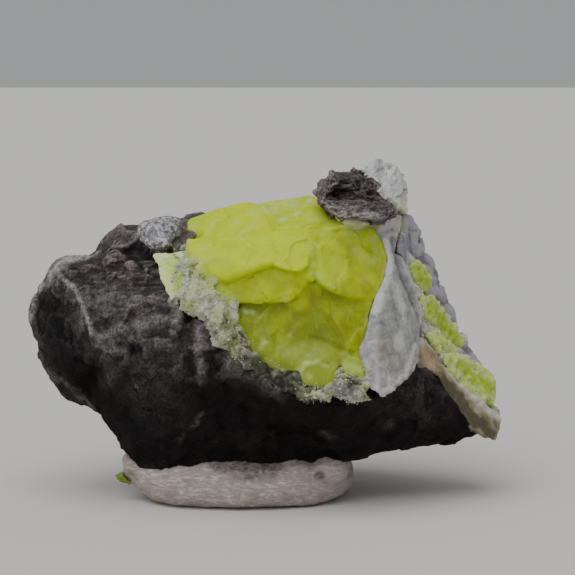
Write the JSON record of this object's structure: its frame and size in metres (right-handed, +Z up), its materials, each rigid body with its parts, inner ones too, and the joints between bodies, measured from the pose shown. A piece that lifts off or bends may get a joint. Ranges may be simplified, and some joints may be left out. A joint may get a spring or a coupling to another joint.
{
  "type": "native sulfur crystal specimen",
  "caption": "Mineral specimen: a cluster of yellow sulfur crystals in a pocket of dark limestone, with clear gypsum and pale crusts, standing on a pressed pad of display putty.",
  "frame": {"origin": "middle of the putty's flat underside, where the specimen stands", "axes": "+X from the limestone's thin end towards the crusted flank, -Y is the side the sulfur pocket faces, +Z up"},
  "size_m": [0.0571, 0.0324, 0.0408],
  "materials": {
    "limestone": "dull, earthy, brownish grey",
    "sulfur": "translucent, resinous, bright yellow",
    "pale_sulfur": "translucent, pale yellow-green",
    "gypsum": "cloudy, finely fibrous, satin",
    "spar": "milky, sparkling",
    "crust": "granular, white with a green tinge",
    "flank_crust": "knobbly, grey, waxy",
    "calcite": "cream to tan, satin",
    "putty": "matt, soft, pinkish white"
  },
  "bodies": {
    "root": {"limestone_matrix": "limestone", "limestone_cap": "limestone", "sulfur_pocket": "sulfur", "sulfur_flank_upper": "sulfur", "sulfur_flank_middle": "sulfur", "sulfur_flank_lower": "sulfur", "putty_crumb": "sulfur", "sulfur_slab": "pale_sulfur", "gypsum_plate": "gypsum", "spar_tip": "spar", "spar_knob": "spar", "pocket_crust": "crust", "flank_crust": "flank_crust", "calcite_band": "calcite", "display_putty": "putty"}
  },
  "joints": []
}
